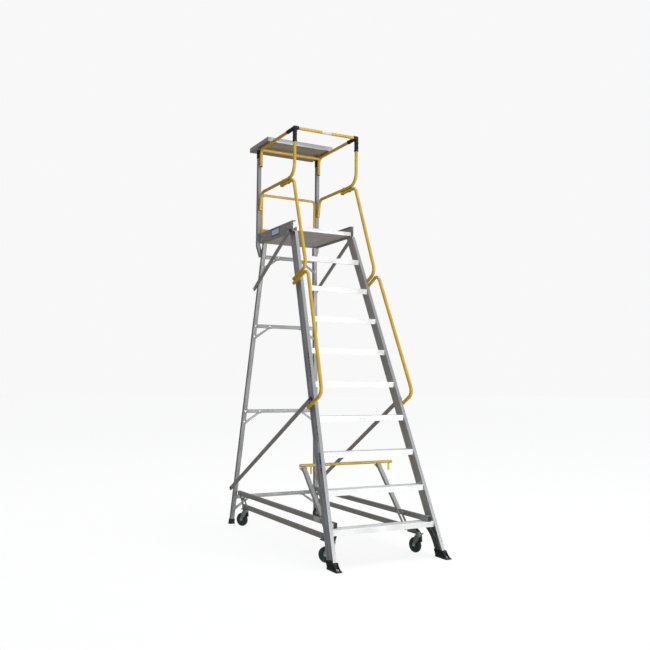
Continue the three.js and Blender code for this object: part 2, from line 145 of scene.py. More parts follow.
def mix(tree, factor, a, b, kind="MIX"):
    made = tree.nodes.new("ShaderNodeMix")
    made.data_type = "RGBA"
    made.blend_type = kind
    for index, value in ((0, factor), (6, a), (7, b)):
        if isinstance(value, bpy.types.NodeSocket):
            tree.links.new(value, made.inputs[index])
        elif index:
            made.inputs[index].default_value = (*value, 1)
        else:
            made.inputs[index].default_value = value
    return made.outputs[2]


def edges(tree, radius, low=0.02, high=0.25):
    """A painted highlight: white where the surface turns a corner, broken up by noise."""
    bevel = tree.nodes.new("ShaderNodeBevel")
    bevel.samples = 4
    bevel.inputs["Radius"].default_value = radius
    geometry = tree.nodes.new("ShaderNodeNewGeometry")
    dot = tree.nodes.new("ShaderNodeVectorMath")
    dot.operation = "DOT_PRODUCT"
    tree.links.new(bevel.outputs["Normal"], dot.inputs[0])
    tree.links.new(geometry.outputs["Normal"], dot.inputs[1])
    turned = ramp(tree, dot.outputs["Value"], [(1 - high, grey(1)), (1 - low, grey(0))])
    broken = ramp(tree, noise(tree, 60, 6), [(0.42, grey(0)), (0.62, grey(1))])
    return mix(tree, 1.0, turned, broken, "MULTIPLY")


def bump(tree, shader, height, strength, distance):
    made = node(tree, "ShaderNodeBump", Strength=strength, Distance=distance)
    tree.links.new(height, made.inputs["Height"])
    tree.links.new(made.outputs["Normal"], shader.inputs["Normal"])


def aluminium(name, along, base=0.60, rough=0.38, metallic=0.75):
    """Extruded aluminium with drawn streaks along one axis, dull patches and a painted highlight along its
    edges.
    """
    material, tree, shader = surface(name, rough, metallic)
    stretch = tuple(0.012 if axis == along else 1.0 for axis in "xyz")
    streaks = noise(tree, 900, 3, stretch)
    patches = noise(tree, 7, 5)
    tone = ramp(tree, streaks, [(0.3, grey(base * 0.9)), (0.7, grey(base * 1.08))])
    cloud = ramp(tree, patches, [(0.3, (0.86, 0.86, 0.85)), (0.7, grey(1))])
    color = mix(tree, 1.0, tone, cloud, "MULTIPLY")
    # Painted highlight: the corners turn pale grey.
    painted_edge_highlight = edges(tree, 0.0015)
    tree.links.new(mix(tree, painted_edge_highlight, color, grey(0.86)), shader.inputs["Base Color"])
    spread = mix(tree, 0.5, ramp(tree, patches, [(0.25, grey(rough + 0.12)), (0.75, grey(rough - 0.08))]),
                 ramp(tree, streaks, [(0.3, grey(rough + 0.08)), (0.7, grey(rough - 0.05))]))
    tree.links.new(spread, shader.inputs["Roughness"])
    bump(tree, shader, streaks, 0.12, 0.0003)
    return material


def powder_coat(name, color, rough=0.34):
    material, tree, shader = surface(name, rough, 0.0, 0.35)
    shader.inputs["Coat Roughness"].default_value = 0.18
    cloud = noise(tree, 9, 4)
    dark = tuple(c * 0.86 for c in color)
    light = tuple(min(1, c * 1.08) for c in color)
    tone = ramp(tree, cloud, [(0.3, dark), (0.7, light)])
    scuffs = ramp(tree, noise(tree, 55, 8, (1, 1, 0.3), 0.7), [(0.66, grey(0)), (0.74, grey(1))])
    scuffed = mix(tree, scuffs, tone, tuple(c * 0.7 + 0.02 for c in color))
    # Painted highlight: the corners turn a pale yellow, laid over the real scuffs.
    painted_edge_highlight = mix(tree, edges(tree, 0.0012, 0.05, 0.4), scuffed, (0.9, 0.72, 0.3))
    tree.links.new(painted_edge_highlight, shader.inputs["Base Color"])
    tree.links.new(ramp(tree, cloud, [(0.3, grey(rough + 0.1)), (0.7, grey(rough - 0.06))]),
                   shader.inputs["Roughness"])
    bump(tree, shader, noise(tree, 700, 2), 0.15, 0.0004)
    return material


def moulded(name, color, rough, grain=900, dust=0.0):
    """Moulded plastic or rubber with a fine grain, a painted highlight along its edges and, near the floor,
    dust.
    """
    material, tree, shader = surface(name, rough, 0.0, 0.0, 0.4)
    cloud = noise(tree, 30, 5)
    light = tuple(c * 1.4 + 0.004 for c in color)
    tone = ramp(tree, cloud, [(0.35, color), (0.75, light)])
    # Painted highlight: the corners turn a little lighter.
    painted_highlight_and_dust = mix(tree, edges(tree, 0.0015), tone, tuple(c + 0.06 for c in color))
    if dust:
        coordinates = tree.nodes.new("ShaderNodeTexCoord")
        parts = tree.nodes.new("ShaderNodeSeparateXYZ")
        tree.links.new(coordinates.outputs["Object"], parts.inputs["Vector"])
        low = ramp(tree, parts.outputs["Z"], [(0.0, grey(dust)), (0.03, grey(0))])
        speckle = ramp(tree, noise(tree, 120, 6), [(0.4, grey(0)), (0.7, grey(1))])
        painted_highlight_and_dust = mix(tree, mix(tree, 1.0, low, speckle, "MULTIPLY"), painted_highlight_and_dust, (0.30, 0.27, 0.23))
    tree.links.new(painted_highlight_and_dust, shader.inputs["Base Color"])
    tree.links.new(ramp(tree, cloud, [(0.3, grey(rough - 0.08)), (0.7, grey(rough + 0.1))]),
                   shader.inputs["Roughness"])
    bump(tree, shader, noise(tree, grain, 3), 0.25, 0.0004)
    return material


def plated(name, color, rough=0.36):
    """Zinc-plated pressed steel: a faint crystalline mottle, darker in patches."""
    material, tree, shader = surface(name, rough, 0.8)
    coordinates = tree.nodes.new("ShaderNodeTexCoord")
    cells = node(tree, "ShaderNodeTexVoronoi", Scale=160)
    tree.links.new(coordinates.outputs["Object"], cells.inputs["Vector"])
    spangle = ramp(tree, cells.outputs["Distance"], [(0.0, tuple(c * 1.12 for c in color)), (0.8, color)])
    stain = ramp(tree, noise(tree, 22, 6), [(0.35, (0.68, 0.7, 0.66)), (0.65, grey(1))])
    tone = mix(tree, 1.0, spangle, stain, "MULTIPLY")
    # Painted highlight: the corners turn a paler grey.
    tree.links.new(mix(tree, edges(tree, 0.001), tone, (0.62, 0.65, 0.62)), shader.inputs["Base Color"])
    tree.links.new(ramp(tree, noise(tree, 40, 4), [(0.3, grey(rough + 0.16)), (0.7, grey(rough - 0.04))]),
                   shader.inputs["Roughness"])
    bump(tree, shader, noise(tree, 300, 4), 0.1, 0.0003)
    return material


def sticker(name, color):
    material, tree, shader = surface(name, 0.3, 0.0, 0.2)
    tone = ramp(tree, noise(tree, 40, 4), [(0.3, tuple(c * 0.85 for c in color)), (0.7, color)])
    tree.links.new(tone, shader.inputs["Base Color"])
    bump(tree, shader, noise(tree, 200, 3), 0.08, 0.0003)
    return material


YELLOW_COLOR = (0.70, 0.44, 0.024)
LOOKS = {
    "rise": aluminium("aluminium_drawn_along_z", "z"),
    "run": aluminium("aluminium_drawn_along_y", "y", 0.52, 0.42),
    "cross": aluminium("aluminium_drawn_along_x", "x", 0.60, 0.42),
    "dull_rise": aluminium("dull_aluminium_drawn_along_z", "z", 0.34, 0.5, 0.6),
    "dull_cross": aluminium("dull_aluminium_drawn_along_x", "x", 0.38, 0.5, 0.6),
    "tread": aluminium("ribbed_tread_aluminium", "x", 0.84, 0.46, 0.4),
    "yellow": powder_coat("yellow_powder_coat", YELLOW_COLOR),
    "plastic": moulded("black_moulded_plastic", (0.009, 0.009, 0.011), 0.45),
    "rubber": moulded("black_foot_rubber", (0.009, 0.009, 0.010), 0.62, 500, 0.25),
    "tyre": moulded("dark_grey_tyre", (0.026, 0.032, 0.031), 0.55, 600, 0.35),
    "disc": moulded("wheel_disc_plastic", (0.035, 0.055, 0.050), 0.42),
    "zinc": plated("zinc_plated_steel", (0.36, 0.43, 0.40)),
    "knee": plated("dark_passivated_steel", (0.15, 0.18, 0.17), 0.45),
    "bright": plated("bright_fixings", (0.62, 0.64, 0.65), 0.28),
    "dark": plated("dark_fixings", (0.05, 0.05, 0.055), 0.4),
    "white": sticker("white_sticker", (0.80, 0.80, 0.78)),
    "blue": sticker("blue_sticker", (0.02, 0.12, 0.48)),
    "red": sticker("red_sticker", (0.62, 0.03, 0.03)),
    "green": sticker("green_sticker", (0.05, 0.28, 0.16)),
    "black": sticker("black_sticker", (0.025, 0.025, 0.03)),
    "lime": sticker("yellow_green_sticker", (0.42, 0.45, 0.05)),
}

# ---------- shape helpers ----------


def fillet(points, radius, steps=4):
    """Rounds the corners of a closed 2-D outline. A point may carry its own radius as a third number."""
    made = []
    count = len(points)
    for i, point in enumerate(points):
        r = point[2] if len(point) > 2 else radius
        here = Vector(point[:2])
        before = Vector(points[i - 1][:2]) - here
        after = Vector(points[(i + 1) % count][:2]) - here
        if r <= 0 or before.length < 1e-6 or after.length < 1e-6:
            made.append(here)
            continue
        a, b = before.normalized(), after.normalized()
        half = a.angle(b) / 2
        if half > math.radians(89):
            made.append(here)
            continue
        back = min(r / math.tan(half), before.length * 0.49, after.length * 0.49)
        r = back * math.tan(half)
        centre = here + (a + b).normalized() * (r / math.sin(half))
        start = here + a * back - centre
        turn = start.angle_signed(here + b * back - centre)
        for step in range(steps + 1):
            spin = Matrix.Rotation(-turn * step / steps, 2)
            made.append(centre + spin @ start)
    return [tuple(p) for p in made]


def rectangle(width, height, radius=0.0, steps=4):
    x, y = width / 2, height / 2
    return fillet([(-x, -y), (x, -y), (x, y), (-x, y)], radius, steps)


def circle(radius, sides=28):
    return [(radius * math.cos(2 * math.pi * i / sides), radius * math.sin(2 * math.pi * i / sides))
            for i in range(sides)]


def band(bm, low, high):
    """Quads between two loops of the same length."""
    for i in range(len(low)):
        j = (i + 1) % len(low)
        bm.faces.new((low[i], low[j], high[j], high[i]))


def skin(bm, rings, hollow):
    """Walls between successive rings and a face at each end, open in the middle where it is hollow."""
    for walls in (rings, hollow):
        for low, high in zip(walls, walls[1:]):
            band(bm, low, high)
    for index in (0, -1):
        if hollow:
            band(bm, rings[index], hollow[index])
        else:
            bm.faces.new(rings[index])


def prism(bm, loop, run, inner=None):
    """A closed solid from a 3-D loop carried along a vector, hollow where an inner loop is given."""
    shifts = (Vector(), Vector(run))
    rings, hollow = [[[bm.verts.new(Vector(p) + shift) for p in points] for shift in shifts]
                     if points else [] for points in (loop, inner)]
    skin(bm, rings, hollow)


def along_x(points, x):
    return [(x, y, z) for y, z in points]


def along_y(points, y):
    return [(x, y, z) for x, z in points]


def level(points, z, x=0, y=0):
    return [(px + x, py + y, z) for px, py in points]


def frame_for(direction):
    """Two unit vectors across a direction."""
    direction = Vector(direction).normalized()
    helper = Vector((0, 0, 1)) if abs(direction.z) < 0.9 else Vector((0, 1, 0))
    side = helper.cross(direction).normalized()
    return side, direction.cross(side)


def bent_path(corners, steps=10):
    """Straight runs joined by round bends. Each corner is (x, y, z, bend radius)."""
    at = [Vector(c[:3]) for c in corners]
    points = [at[0]]
    for i in range(1, len(at) - 1):
        a, b = (at[i - 1] - at[i]).normalized(), (at[i + 1] - at[i]).normalized()
        turn = math.pi - a.angle(b)
        radius = corners[i][3]
        start = at[i] + a * radius * math.tan(turn / 2)
        centre = at[i] + (a + b).normalized() * radius / math.cos(turn / 2)
        axis = b.cross(a).normalized()
        for step in range(steps + 1):
            points.append(centre + Matrix.Rotation(turn * step / steps, 3, axis) @ (start - centre))
    points.append(at[-1])
    return points


def sweep(bm, points, section, side=None, inner=None):
    """Carries a 2-D section along a path, turning with it. Hollow where an inner section is given."""
    points = [Vector(p) for p in points]
    tangents = []
    for i in range(len(points)):
        before = points[i] - points[max(i - 1, 0)]
        after = points[min(i + 1, len(points) - 1)] - points[i]
        tangents.append((before.normalized() + after.normalized()).normalized())
    u = Vector(side) if side else frame_for(tangents[0])[0]
    u = (u - tangents[0] * u.dot(tangents[0])).normalized()
    rings, hollow = [], []
    for i, (p, t) in enumerate(zip(points, tangents)):
        if i:
            u = (tangents[i - 1].rotation_difference(t) @ u).normalized()
        v = t.cross(u)
        rings.append([bm.verts.new(p + u * a + v * b) for a, b in section])
        if inner:
            hollow.append([bm.verts.new(p + u * a + v * b) for a, b in inner])
    skin(bm, rings, hollow)


def lathe(bm, at, axis, profile, sides=32, closed=False):
    """Turns (radius, height) pairs about an axis. Radius 0 closes an end; a closed profile makes a ring."""
    at, axis = Vector(at), Vector(axis).normalized()
    u, v = frame_for(axis)
    rings = []
    for radius, height in profile:
        if radius < 1e-6:
            rings.append([bm.verts.new(at + axis * height)])
        else:
            rings.append([
                bm.verts.new(at + axis * height + (u * math.cos(a) + v * math.sin(a)) * radius)
                for a in (2 * math.pi * i / sides for i in range(sides))
            ])
    pairs = list(zip(rings, rings[1:])) + ([(rings[-1], rings[0])] if closed else [])
    for low, high in pairs:
        for i in range(sides):
            j = (i + 1) % sides
            if len(low) == 1:
                bm.faces.new((low[0], high[j], high[i]))
            elif len(high) == 1:
                bm.faces.new((low[i], low[j], high[0]))
            else:
                bm.faces.new((low[i], low[j], high[j], high[i]))


def bolt(bm, at, axis, radius=8.0, height=5.0, washer=True):
    """A hexagon head with a chamfer, on a washer."""
    base = 0.0
    if washer:
        w = radius * 1.45
        lathe(bm, at, axis, [(0, 0), (w, 0), (w, 1.2), (w - 0.5, 1.7), (0, 1.7)], 20)
        base = 1.5
    lathe(bm, at, axis, [(0, base), (radius, base), (radius, base + height - 1.2),
                         (radius * 0.82, base + height), (0, base + height)], 6)


def rivet(bm, at, axis, radius=5.0):
    lathe(bm, at, axis, [(0, 0), (radius, 0), (radius * 0.92, radius * 0.28), (radius * 0.6, radius * 0.5),
                         (0, radius * 0.58)], 14)


def piece(name, bm, look, body="frame", replaces=(), bevel=0.0, smooth=35, slot=None,
          sign=1):
    """Turns a bmesh in ladder millimetres into an object that rides on a body, mirrored where sign is -1."""
    if sign < 0:
        for v in bm.verts:
            v.co.x = -v.co.x
    bmesh.ops.recalc_face_normals(bm, faces=bm.faces)
    mesh = bpy.data.meshes.new(name)
    bm.to_mesh(mesh)
    bm.free()
    mesh.transform(TO_PART)
    mesh.polygons.foreach_set("use_smooth", [True] * len(mesh.polygons))
    mesh.set_sharp_from_angle(angle=math.radians(smooth))
    obj = bpy.data.objects.new(name, mesh)
    bpy.context.scene.collection.objects.link(obj)
    obj.data.materials.append(LOOKS[look])
    if bevel:
        rounding = obj.modifiers.new("rounding", "BEVEL")
        rounding.width = bevel / 1000
        rounding.segments = 2
        rounding.limit_method = "ANGLE"
        rounding.angle_limit = math.radians(38)
        rounding.harden_normals = True
    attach(obj, body)
    if replaces:
        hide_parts(*replaces)
    return obj


def both(build):
    """Calls build for the right side and for the left: side name, and +1 or -1."""
    for side, sign in SIDES:
        build(side, sign)


# ---------- front frame ----------

FOOT_TOP = 60


def stile(side, sign):
    bm = bmesh.new()
    low, high = FOOT_TOP + 0.4, FRAME_TOP
    f, d, w = STILE_FLANGE, STILE_DEPTH, 4.0
    outline = fillet([
        (0, 0), (8, 0), (9, 0.8), (13, 0.8), (14, 0), (18, 0), (19, 0.8), (23, 0.8), (24, 0), (f, 0),
        (f, 7), (f - 2.5, 7), (f - 2.5, w), (w, w, 3), (w, d - w, 3), (f - 2.5, d - w), (f - 2.5, d - 7),
        (f, d - 7), (f, d), (0, d),
    ], 0.0)
    x = stile_inner(low)
    y = STILE_LEAN * low
    rise = high - low
    prism(bm, level(outline, low, x, y), (-STILE_TAPER * rise, STILE_LEAN * rise, rise))
    piece(f"channel_stile_{side}", bm, "rise", replaces=[f"front_stile_{side}"], bevel=1.1, sign=sign)

    # Rivets that hold each tread, seen in the hollow of the channel.
    bm = bmesh.new()
    for step in range(1, TREADS + 1):
        z = step * RISE
        for dy, dz in ((14, -14), (14, -34), (58, -12), (88, -18)):
            height = z + dz
            rivet(bm, (stile_inner(height) + w, STILE_LEAN * height + dy + 6, height),
                  (1, 0, STILE_TAPER), 5.5)
    piece(f"stile_rivets_{side}", bm, "bright", sign=sign)


def boot(side, sign):
    """A moulded rubber boot: a cup round the stile, a flared ribbed sole and an eyelet at the toe."""
    bm = bmesh.new()
    middle = 495.5
    x0, x1 = middle - 24, middle + 24
    cup = fillet([(-4, 11), (104, 11), (108, 14), (131, FOOT_TOP), (19, FOOT_TOP), (0, 18)], 3)
    prism(bm, along_x(cup, x0), (x1 - x0, 0, 0))
    sole = fillet([(-44, 0), (108, 0), (112, 6), (110, 13), (-6, 15), (-26, 12), (-44, 9)], 2)
    prism(bm, along_x(sole, middle - 26), (52, 0, 0))
    for i in range(5):
        y = 8 + i * 20
        rib = fillet([(y, 13), (y + 9, 13), (y + 25, 48), (y + 16, 48)], 2)
        for x in (x1 - 1, x0 - 1.2):
            prism(bm, along_x(rib, x), (2.2, 0, 0))
    for x in (x0 + 4, x1 - 9):
        ear = fillet([(-38, 8), (8, 8), (22, 52), (12, 54), (-6, 34)], 4)
        prism(bm, along_x(ear, x), (5, 0, 0))
    piece(f"rubber_boot_{side}", bm, "rubber", replaces=[f"front_foot_{side}"], bevel=1.2, sign=sign)
    bm = bmesh.new()
    lathe(bm, (middle, -14, 15), (0, -0.5, 1), [(5, 0), (9, 0), (10, 1.5), (9, 3), (5, 3)], 20, True)
    piece(f"boot_eyelet_{side}", bm, "bright", sign=sign)


def tread(step):
    """A ribbed tread with a deep grooved nose and a rear lip."""
    z = step * RISE
    y = STILE_LEAN * z
    depth, nose, lip, sheet = 100, 45, 30, 3.2
    half = stile_inner(z) - 0.4
    top = [(y, z - 1.6), (y + 1.6, z)]
    pitch = 7.0
    for i in range(12):
        start = y + 9 + i * pitch
        top += [(start, z), (start + 0.8, z - 1.8), (start + 3.0, z - 1.8), (start + 3.8, z)]
    top += [(y + depth - 1.5, z), (y + depth, z - 1.5)]
    under = [
        (y + depth, z - lip), (y + depth - 8, z - lip), (y + depth - 8, z - lip + 2.5),
        (y + depth - sheet, z - lip + 2.5), (y + depth - sheet, z - sheet - 1.5),
        (y + 56, z - sheet - 1.5), (y + 56, z - 14), (y + 53, z - 14), (y + 53, z - sheet - 1.5),
        (y + sheet, z - sheet - 1.5), (y + sheet, z - nose + 2.5), (y + 9, z - nose + 2.5), (y + 9, z - nose),
        (y, z - nose),
    ]
    grooves = []
    for i in (3, 2, 1):
        g = z - 11 * i
        grooves += [(y, g - 1.6), (y + 0.9, g - 1.0), (y + 0.9, g + 1.0), (y, g + 1.6)]
    bm = bmesh.new()
    prism(bm, along_x(top + under + grooves, -half), (2 * half, 0, 0))
    piece(f"ribbed_tread_{step}", bm, "tread", replaces=[f"tread_{step}"], bevel=0.5, smooth=30)


def knee_strips():
    """Curved strips that brace the lowest tread to the stiles."""
    for side, sign in SIDES:
        bm = bmesh.new()
        top, bottom, reach, depth = RISE - 5, 66, 72, 72
        start = lambda z: STILE_LEAN * z + 24
        outer, inner = [], []
        for i in range(15):
            t = i / 14
            z = bottom + (top - bottom) * t
            x = stile_inner(z) - 1.0 - reach * t ** 3
            outer.append((x, start(z), z))
            inner.append((x - 4, start(z), z))
        prism(bm, outer + inner[::-1], (0, depth, 0))
        for z in (90, 150):
            bolt(bm, (stile_inner(z) - 5.4, start(z) + depth / 2, z), (-1, 0, 0), 6, 4)
        piece(f"tread_knee_{side}", bm, "knee", bevel=0.8, sign=sign)


both(stile)
both(boot)
for step in range(1, TREADS + 1):
    tread(step)
knee_strips()

# ---------- rear frame ----------


def rear_leg(side, sign):
    bm = bmesh.new()
    low, high = 46.4, FRAME_TOP
    outer, inner = rectangle(LEG_WIDTH, LEG_DEPTH, 3.5), rectangle(LEG_WIDTH - 5, LEG_DEPTH - 5, 1.5)
    at = (leg_x(low), leg_y(low))
    run = Vector((-LEG_TAPER, LEG_LEAN, 1)) * (high - low)
    prism(bm, level(outer, low, *at), run, level(inner, low, *at))
    piece(f"box_leg_{side}", bm, "dull_rise", replaces=[f"rear_leg_{side}"], sign=sign)

    bm = bmesh.new()
    x, y = leg_x(23), leg_y(23)
    prism(bm, level(rectangle(56, 56, 8), 0, x, y), (0, 0, 9))
    prism(bm, level(rectangle(50, 46, 6), 8, x, y), (-2, -3, 38))
    for z in (16, 24, 32):
        prism(bm, level(rectangle(51.4, 47.4, 6), z, x - 0.7, y - 1), (0, 0, 3))
    piece(f"leg_cap_{side}", bm, "rubber", replaces=[f"rear_foot_{side}"], bevel=1.0, sign=sign)


def rear_crossbar(index, z):
    top, bottom = z + 17.5, z - 17.5
    y = leg_y(z)
    half = leg_x(top) - LEG_WIDTH / 2 - 0.4
    bm = bmesh.new()
    shape = lambda w, h, r: [(y + a, z + b) for a, b in rectangle(w, h, r)]
    prism(bm, along_x(shape(25, 35, 3), -half), (2 * half, 0, 0), along_x(shape(21, 31, 1.5), -half))
    piece(f"crossbar_{index}", bm, "dull_cross", replaces=[f"rear_crossbar_{index}"])

    # Flat knee braces under each end, bent flat at both ends and bolted.
    for side, sign in SIDES:
        bm = bmesh.new()
        low = bottom - 110
        inner = lambda h: leg_x(h) - LEG_WIDTH / 2 - 1.0
        bar = fillet([
            (half - 142, bottom - 0.5), (half - 112, bottom - 0.5), (inner(low + 32), low + 36),
            (inner(low), low), (inner(low) - 7, low + 8),
        ], 4)
        prism(bm, along_y(bar, y - 4.5), (0, 9, 0))
        pad = fillet([(half - 158, bottom - 4.5), (half - 106, bottom - 4.5), (half - 106, bottom - 0.5),
                      (half - 158, bottom - 0.5)], 1)
        prism(bm, along_y(pad, y - 10), (0, 20, 0))
        piece(f"crossbar_{index}_knee_{side}", bm, "dull_cross", bevel=0.9, sign=sign)
        bm = bmesh.new()
        for dy in (-1, 1):
            bolt(bm, (half - 134, y + dy * 12.5, z + 2), (0, dy, 0), 5.5, 3.5)
            bolt(bm, (leg_x(low + 24), leg_y(low + 24) + dy * 17.5, low + 24), (0, dy, 0), 5.5, 3.5)
            bolt(bm, (leg_x(z), leg_y(z) + dy * 17.5, z), (0, dy, 0), 6, 3.5)
        piece(f"crossbar_{index}_bolts_{side}", bm, "bright", sign=sign)


def side_brace(name, front, back, face, front_bolt):
    def build(side, sign):
        height, thickness = 34, 18
        offset = thickness / 2 + 3
        a = Vector((face + offset, front[0], front[1]))
        b = Vector((leg_x(back[1]) + LEG_WIDTH / 2 + offset, back[0], back[1]))
        forward = (b - a).normalized()
        across = Vector((0, 0, 1)).cross(forward).normalized()
        bm = bmesh.new()
        sweep(bm, [a, b], rectangle(thickness, height, 2.5), across, rectangle(thickness - 4, height - 4, 1))
        piece(f"{name}_tube_{side}", bm, "run", replaces=[f"{name}_{side}"], sign=sign)
        bm = bmesh.new()
        spacer = [(0, 0), (11, 0), (11, 2.8), (0, 2.8)]
        for end, toward in ((a, forward), (b, -forward)):
            at = end + toward * 18
            bolt(bm, at + Vector((thickness / 2, 0, 0)), (1, 0, 0), 8, 5.5)
            lathe(bm, at - Vector((thickness / 2 + 2.8, 0, 0)), (1, 0, 0), spacer, 18)
        piece(f"{name}_bolts_{side}", bm, front_bolt, sign=sign)
        bm = bmesh.new()
        stub = rectangle(thickness - 4.6, height - 4.6, 1.5)
        for end, out in ((a, -forward), (b, forward)):
            sweep(bm, [end + out * -6, end + out * 1.6], stub, across)
            sweep(bm, [end + out * 0.2, end + out * 2.2], rectangle(thickness, height, 2.5), across)
        piece(f"{name}_plugs_{side}", bm, "plastic", bevel=0.5, sign=sign)
    both(build)


both(rear_leg)
for index, z in enumerate((2624, 1943, 1103, 261), 1):
    rear_crossbar(index, z)
side_brace("lower_side_brace", (556, 1262), (2214, 340), stile_inner(1262) + STILE_FLANGE, "dark")
side_brace("upper_side_brace", (1225, 2768), (2010, 2308), 316, "bright")

# ---------- platform ----------


def platform():
    """Planks with ribbed tops laid side by side, and a nosing along the front."""
    half, front, back, top, bottom = 281.5, 1175, 1975, DECK_TOP, DECK_TOP - 30
    planks = 8
    pitch = 2 * half / planks
    for i in range(planks):
        x0, x1 = -half + pitch * i + 0.35, -half + pitch * (i + 1) - 0.35
        shape = [(x0, bottom), (x1, bottom), (x1, top - 1.2), (x1 - 1.2, top)]
        x = x1 - 5
        while x - 5 > x0 + 4:
            shape += [(x, top), (x - 0.9, top - 1.6), (x - 3.2, top - 1.6), (x - 4.1, top)]
            x -= 7.4
        shape += [(x0 + 1.2, top), (x0, top - 1.2)]
        bm = bmesh.new()
        outer = along_y(shape, front)
        prism(bm, outer, (0, back - front, 0))
        piece(f"deck_plank_{i + 1}", bm, "tread", replaces=["platform_deck"] if i == 0 else (), bevel=0.4,
              smooth=30)
    bm = bmesh.new()
    nose = fillet([(1170, top - 34), (1175, top - 34), (1175, top - 1), (1182, top - 1), (1182, top + 0.6),
                   (1172, top + 0.6), (1170, top - 2)], 0.6)
    prism(bm, along_x(nose, -half), (2 * half, 0, 0))
    piece("deck_nosing", bm, "tread", bevel=0.4)


def side_plate(side, sign):
    outer, lip, bottom, top = 316, 34, 2758, 2860
    inner = outer - lip
    bm = bmesh.new()
    channel = fillet([
        (inner, bottom), (outer, bottom, 3), (outer, top, 3), (inner, top),
        (inner, top - 6), (inner + 3, top - 6),
        (inner + 3, top - 3.5), (outer - 3.5, top - 3.5, 2), (outer - 3.5, bottom + 3.5, 2),
        (inner + 3, bottom + 3.5), (inner + 3, bottom + 6), (inner, bottom + 6),
    ], 0)
    prism(bm, along_y(channel, 1180), (0, 754, 0))
    for z in (bottom + 14, top - 14):
        prism(bm, along_y(fillet([(outer - 1, z - 3), (outer + 1.2, z - 2), (outer + 1.2, z + 2),
                                  (outer - 1, z + 3)], 0.5), 1181), (0, 752, 0))
    piece(f"side_channel_{side}", bm, "run", replaces=[f"platform_side_plate_{side}"], bevel=0.6, sign=sign)
    bm = bmesh.new()
    for y, z in ((1204, 2812), (1204, 2838), (1290, 2812), (1880, 2790), (1880, 2838), (1830, 2812)):
        bolt(bm, (outer, y, z), (1, 0, 0), 7, 4.5)
    piece(f"side_channel_bolts_{side}", bm, "bright", sign=sign)


def guard_post(side, sign):
    x, y, half = 326, 1957, 18
    bm = bmesh.new()
    path = bent_path([(x, y, 3698, 0), (x, y, 2735, 70), (x - 32.5, y, 2628, 0)])
    sweep(bm, path, rectangle(36, 36, 3.5), (1, 0, 0), rectangle(31, 31, 1.5))
    piece(f"square_post_{side}", bm, "dull_rise", replaces=[f"guard_post_{side}"], sign=sign)
    bm = bmesh.new()
    prism(bm, level(rectangle(40.6, 40.6, 4), 3618, x, y), (0, 0, 84))
    for z in (3626, 3646, 3666, 3686):
        prism(bm, level(rectangle(42, 42, 4.4), z, x, y), (0, 0, 5))
    piece(f"post_cap_{side}", bm, "plastic", bevel=1.0, sign=sign)
    bm = bmesh.new()
    for z in (2778, 2826):
        bolt(bm, (x + half, y, z), (1, 0, 0), 8, 5)
    for z in (3110, 3560):
        bolt(bm, (x, y + half, z), (0, 1, 0), 6.5, 4)
        bolt(bm, (x + half, y, z + 14), (1, 0, 0), 6.5, 4)
    piece(f"post_bolts_{side}", bm, "bright", sign=sign)


def toe_board():
    bm = bmesh.new()
    y = 1975.4
    board = fillet([(y, DECK_TOP - 3), (y + 6, DECK_TOP - 3), (y + 6, 2912), (y + 4, 2914), (y - 4, 2914),
                    (y - 6, 2912), (y - 6, 2904), (y - 4, 2904), (y - 4, 2911), (y + 2, 2911),
                    (y + 2, 2806), (y, 2804)], 0)
    prism(bm, along_x(board, -276), (552, 0, 0))
    rib = fillet([(y + 5, 2850), (y + 8, 2853), (y + 8, 2867), (y + 5, 2870)], 1)
    prism(bm, along_x(rib, -272), (544, 0, 0))
    piece("folded_toe_board", bm, "yellow", replaces=["toe_board"], bevel=0.6)


platform()
both(side_plate)
both(guard_post)
toe_board()

# ---------- guard rails ----------

TUBE, WALL = 15, 2.5


def tube(name, corners, node_name, radius=TUBE, sign=1, plugs=(False, False), steps=12):
    bm = bmesh.new()
    path = bent_path(corners, steps)
    sweep(bm, path, circle(radius, 32), None, circle(radius - WALL, 32))
    piece(name, bm, "yellow", replaces=[node_name], smooth=50, sign=sign)
    if any(plugs):
        bm = bmesh.new()
        for wanted, end, inner in ((plugs[0], path[0], path[1]), (plugs[1], path[-1], path[-2])):
            if wanted:
                lathe(bm, end, end - inner, [(0, -14), (radius - WALL - 0.2, -14), (radius - WALL - 0.2, 0.2),
                                         (radius, 0.2), (radius, 1.8), (radius - 1.5, 3.2), (0, 3.6)], 28)
        piece(f"{name}_plugs", bm, "plastic", sign=sign)


